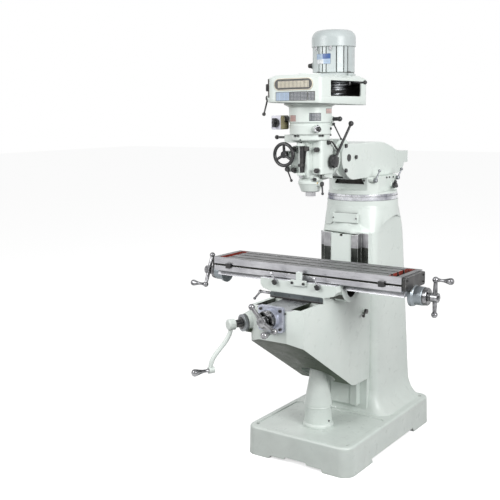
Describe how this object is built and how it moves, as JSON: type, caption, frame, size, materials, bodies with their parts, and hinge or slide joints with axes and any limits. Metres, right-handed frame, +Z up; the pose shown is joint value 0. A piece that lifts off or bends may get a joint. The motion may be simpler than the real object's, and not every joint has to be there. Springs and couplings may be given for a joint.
{
  "type": "turret milling machine",
  "caption": "Vertical turret milling machine: column on a plinth, knee, saddle and slotted table on feed screws, and a belt-driven quill head on a sliding, swivelling ram.",
  "frame": {"origin": "on the floor at the centre of the four anchor holes", "axes": "+X to the operator's right along the table, +Y back to the column, +Z up"},
  "size_m": [1.4928, 1.4569, 2.144],
  "materials": {
    "paint": "gloss",
    "ground_steel": "satin",
    "bright_steel": "polished",
    "black_knob": "gloss",
    "black_steel": "satin",
    "alloy": "satin",
    "rubber": "matte",
    "paint_alloy": "gloss"
  },
  "bodies": {
    "base": {"column_base": "paint", "knee_screw_pedestal": "paint", "turret_scale_ring": "ground_steel"},
    "turret": {"turret": "paint"},
    "ram_lock_front": {"ram_lock_lever_front": "black_steel"},
    "ram_lock_rear": {"ram_lock_lever_rear": "black_steel"},
    "ram_pinion": {"ram_pinion_knob": "black_knob"},
    "ram": {"ram": "paint", "nod_bolts": "black_steel"},
    "adapter": {"ram_adapter": "paint"},
    "head": {"quill_housing": "paint", "gear_housing": "paint", "belt_housing": "paint_alloy", "spindle_cap": "black_knob", "motor_body": "paint", "motor_fan_cover": "paint_alloy", "motor_gland": "black_knob", "drum_switch": "paint", "v_belt": "rubber", "depth_stop_screw": "black_steel", "head_clamp_nuts": "black_steel"},
    "switch_knob": {"drum_switch_knob": "black_knob"},
    "spindle_pulley": {"spindle_pulley": "alloy"},
    "motor_pulley": {"motor_pulley": "alloy"},
    "depth_nut": {"depth_stop_nut": "black_steel"},
    "quill": {"quill": "ground_steel"},
    "spindle": {"spindle": "ground_steel"},
    "feed_lever": {"quill_feed_lever": "black_steel"},
    "handwheel": {"fine_feed_handwheel": "black_steel"},
    "engage_lever": {"feed_engage_lever": "black_steel"},
    "rate_knob": {"feed_rate_knob": "black_knob"},
    "reverse_knob": {"feed_reverse_knob": "black_knob"},
    "range_lever": {"speed_range_lever": "black_steel"},
    "back_gear": {"back_gear_lever": "black_steel"},
    "brake": {"brake_lever": "black_steel"},
    "tension": {"belt_tension_lever": "black_steel"},
    "quill_lock": {"quill_lock_lever": "black_steel"},
    "knee": {"knee": "paint", "cross_feed_bracket": "alloy"},
    "elevating_screw": {"elevating_screw": "ground_steel"},
    "knee_crank": {"knee_crank": "paint"},
    "knee_grip": {"knee_crank_grip": "bright_steel"},
    "knee_lock": {"knee_lock_lever": "black_steel"},
    "cross_screw": {"cross_feed_screw": "bright_steel"},
    "cross_grip": {"cross_crank_grip": "bright_steel"},
    "saddle": {"saddle": "paint", "saddle_wiper": "rubber", "table_stop_bracket": "paint"},
    "table_lock_left": {"table_lock_lever_left": "black_steel"},
    "table_lock_right": {"table_lock_lever_right": "black_steel"},
    "saddle_lock": {"saddle_lock_lever": "black_steel"},
    "table": {"table": "ground_steel", "table_end_bracket_left": "alloy", "table_end_bracket_right": "alloy"},
    "table_screw": {"table_screw": "ground_steel", "table_cranks": "bright_steel"},
    "table_grip_left": {"table_grip_left": "bright_steel"},
    "table_grip_right": {"table_grip_right": "bright_steel"},
    "stop_dog_left": {"stop_dog_left": "black_steel"},
    "stop_dog_right": {"stop_dog_right": "black_steel"}
  },
  "joints": [
    {"name": "turret_swivel", "type": "hinge", "parent": "base", "child": "turret", "pos_m": [0, 0.213, 1.318], "axis": [0, 0, 1], "range_deg": [-180, 180]},
    {"name": "ram_lock_front_turn", "type": "hinge", "parent": "turret", "child": "ram_lock_front", "pos_m": [0.137, 0.077, 1.392], "axis": [1, 0, 0], "range_deg": [-40, 40]},
    {"name": "ram_lock_rear_turn", "type": "hinge", "parent": "turret", "child": "ram_lock_rear", "pos_m": [0.154, 0.305, 1.393], "axis": [1, 0, 0], "range_deg": [-40, 40]},
    {"name": "ram_slide", "type": "slide", "parent": "turret", "child": "ram", "axis": [0, -1, 0], "range_m": [-0.132, 0.173]},
    {"name": "ram_pinion_turn", "type": "hinge", "parent": "turret", "child": "ram_pinion", "pos_m": [0.148, 0.258, 1.358], "axis": [1, 0, 0], "range_deg": [-303, 397]},
    {"name": "head_nod", "type": "hinge", "parent": "ram", "child": "adapter", "pos_m": [0, -0.136, 1.52], "axis": [1, 0, 0], "range_deg": [-45, 45]},
    {"name": "head_tilt", "type": "hinge", "parent": "adapter", "child": "head", "pos_m": [0, -0.236, 1.52], "axis": [0, 1, 0], "range_deg": [-90, 90]},
    {"name": "switch_turn", "type": "hinge", "parent": "head", "child": "switch_knob", "pos_m": [-0.126, -0.44, 1.699], "axis": [0, 1, 0], "range_deg": [-45, 45]},
    {"name": "spindle_pulley_spin", "type": "hinge", "parent": "head", "child": "spindle_pulley", "pos_m": [0, -0.33, 1.83], "axis": [0, 0, 1], "continuous": true},
    {"name": "motor_pulley_spin", "type": "hinge", "parent": "head", "child": "motor_pulley", "pos_m": [0, -0.107, 1.83], "axis": [0, 0, 1], "continuous": true},
    {"name": "depth_nut_slide", "type": "slide", "parent": "head", "child": "depth_nut", "axis": [0, 0, 1], "range_m": [-0.025, 0.08]},
    {"name": "quill_slide", "type": "slide", "parent": "head", "child": "quill", "axis": [0, 0, -1], "range_m": [0, 0.127], "stiffness_N_per_m": 500, "springref_m": -0.2},
    {"name": "spindle_spin", "type": "hinge", "parent": "quill", "child": "spindle", "pos_m": [0, -0.33, 1.4], "axis": [0, 0, 1], "continuous": true},
    {"name": "feed_lever_turn", "type": "hinge", "parent": "head", "child": "feed_lever", "pos_m": [0.092, -0.288, 1.511], "axis": [1, 0, 0], "range_deg": [0, 384]},
    {"name": "handwheel_turn", "type": "hinge", "parent": "head", "child": "handwheel", "pos_m": [-0.101, -0.4, 1.545], "axis": [0, 1, 0], "continuous": true},
    {"name": "engage_lever_turn", "type": "hinge", "parent": "head", "child": "engage_lever", "pos_m": [-0.092, -0.39, 1.474], "axis": [0, 1, 0], "range_deg": [-25, 25]},
    {"name": "rate_knob_pull", "type": "slide", "parent": "head", "child": "rate_knob", "axis": [-1, 0, 0], "range_m": [0, 0.012]},
    {"name": "reverse_knob_pull", "type": "slide", "parent": "head", "child": "reverse_knob", "axis": [0.7314, -0.682, 0], "range_m": [-0.003, 0.012]},
    {"name": "range_lever_pull", "type": "slide", "parent": "head", "child": "range_lever", "axis": [1, 0, 0], "range_m": [0, 0.008]},
    {"name": "back_gear_turn", "type": "hinge", "parent": "head", "child": "back_gear", "pos_m": [0.098, -0.284, 1.689], "axis": [1, 0, 0], "range_deg": [-25, 25]},
    {"name": "brake_turn", "type": "hinge", "parent": "head", "child": "brake", "pos_m": [-0.178, -0.424, 1.816], "axis": [1, 0, 0], "range_deg": [-20, 20]},
    {"name": "tension_turn", "type": "hinge", "parent": "head", "child": "tension", "pos_m": [0.124, -0.172, 1.884], "axis": [0, 0, 1], "range_deg": [-15, 15]},
    {"name": "quill_lock_turn", "type": "hinge", "parent": "head", "child": "quill_lock", "pos_m": [0.068, -0.344, 1.404], "axis": [1, 0, 0], "range_deg": [-40, 40]},
    {"name": "knee_slide", "type": "slide", "parent": "base", "child": "knee", "axis": [0, 0, -1], "range_m": [-0.27, 0.135]},
    {"name": "elevating_screw_turn", "type": "hinge", "parent": "knee", "child": "elevating_screw", "pos_m": [0, -0.255, 0.66], "axis": [0, 0, 1], "range_deg": [-9730, 19450]},
    {"name": "knee_crank_turn", "type": "hinge", "parent": "knee", "child": "knee_crank", "pos_m": [-0.17961, -0.64018, 0.748], "axis": [-0.4226, -0.9063, 0], "range_deg": [-38890, 19450]},
    {"name": "knee_grip_spin", "type": "hinge", "parent": "knee_crank", "child": "knee_grip", "pos_m": [-0.27048, -0.83504, 0.541], "axis": [-0.4226, -0.9063, 0], "continuous": true},
    {"name": "knee_lock_turn", "type": "hinge", "parent": "knee", "child": "knee_lock", "pos_m": [0.156, -0.045, 0.725], "axis": [1, 0, 0], "range_deg": [-35, 35]},
    {"name": "cross_screw_turn", "type": "hinge", "parent": "knee", "child": "cross_screw", "pos_m": [0, -0.712, 0.8], "axis": [0, 1, 0], "range_deg": [-11170, 10810]},
    {"name": "cross_grip_spin", "type": "hinge", "parent": "cross_screw", "child": "cross_grip", "pos_m": [0.068, -0.79, 0.764], "axis": [0, 1, 0], "continuous": true},
    {"name": "saddle_slide", "type": "slide", "parent": "knee", "child": "saddle", "axis": [0, 1, 0], "range_m": [-0.155, 0.15]},
    {"name": "table_lock_left_turn", "type": "hinge", "parent": "saddle", "child": "table_lock_left", "pos_m": [-0.122, -0.455, 0.922], "axis": [0, 1, 0], "range_deg": [-30, 30]},
    {"name": "table_lock_right_turn", "type": "hinge", "parent": "saddle", "child": "table_lock_right", "pos_m": [0.122, -0.455, 0.922], "axis": [0, 1, 0], "range_deg": [-30, 30]},
    {"name": "saddle_lock_turn", "type": "hinge", "parent": "saddle", "child": "saddle_lock", "pos_m": [-0.148, -0.432, 0.856], "axis": [1, 0, 0], "range_deg": [-30, 30]},
    {"name": "table_slide", "type": "slide", "parent": "saddle", "child": "table", "axis": [1, 0, 0], "range_m": [-0.29, 0.29]},
    {"name": "table_screw_turn", "type": "hinge", "parent": "table", "child": "table_screw", "pos_m": [0, -0.3075, 0.906], "axis": [1, 0, 0], "range_deg": [-20890, 20890]},
    {"name": "table_grip_left_spin", "type": "hinge", "parent": "table_screw", "child": "table_grip_left", "pos_m": [-0.7, -0.3395, 0.83], "axis": [1, 0, 0], "continuous": true},
    {"name": "table_grip_right_spin", "type": "hinge", "parent": "table_screw", "child": "table_grip_right", "pos_m": [0.7, -0.3045, 0.988], "axis": [1, 0, 0], "continuous": true},
    {"name": "stop_dog_left_slide", "type": "slide", "parent": "table", "child": "stop_dog_left", "axis": [1, 0, 0], "range_m": [-0.08, 0.09]},
    {"name": "stop_dog_right_slide", "type": "slide", "parent": "table", "child": "stop_dog_right", "axis": [1, 0, 0], "range_m": [-0.09, 0.08]}
  ],
  "couplings": [
    {"joint": "ram_pinion_turn", "follows": "ram_slide", "rad_per_m": 40},
    {"joint": "feed_lever_turn", "follows": "quill_slide", "rad_per_m": 52.6},
    {"joint": "spindle_spin", "follows": "spindle_pulley_spin", "ratio": 1},
    {"joint": "motor_pulley_spin", "follows": "spindle_pulley_spin", "ratio": 1.2188},
    {"joint": "knee_crank_turn", "follows": "knee_slide", "rad_per_m": 2513.3},
    {"joint": "elevating_screw_turn", "follows": "knee_slide", "rad_per_m": -1256.6},
    {"joint": "cross_screw_turn", "follows": "saddle_slide", "rad_per_m": 1256.6},
    {"joint": "table_screw_turn", "follows": "table_slide", "rad_per_m": 1256.6}
  ]
}
